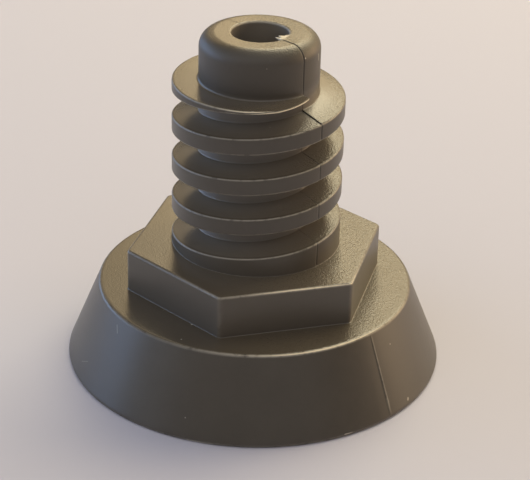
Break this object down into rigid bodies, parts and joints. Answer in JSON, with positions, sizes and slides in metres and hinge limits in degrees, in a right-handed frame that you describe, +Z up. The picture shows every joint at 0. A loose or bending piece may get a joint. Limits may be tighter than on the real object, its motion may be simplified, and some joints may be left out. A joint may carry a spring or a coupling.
{
  "type": "screw-in levelling foot",
  "caption": "Moulded plastic levelling foot for a dishwasher: conical base, spanner hexagon, coarse right-hand thread, and a plain round pilot with a hole down its axis.",
  "frame": {"origin": "centre of the base's underside, on the floor", "axes": "+Z up the thread's axis; +X through the hexagon corner that lies on the mould's seam"},
  "size_m": [0.04, 0.04, 0.0364],
  "materials": {
    "dark_plastic": "satin charcoal moulded plastic with fine scuffs"
  },
  "bodies": {
    "root": {"levelling_foot": "dark_plastic"}
  },
  "joints": []
}
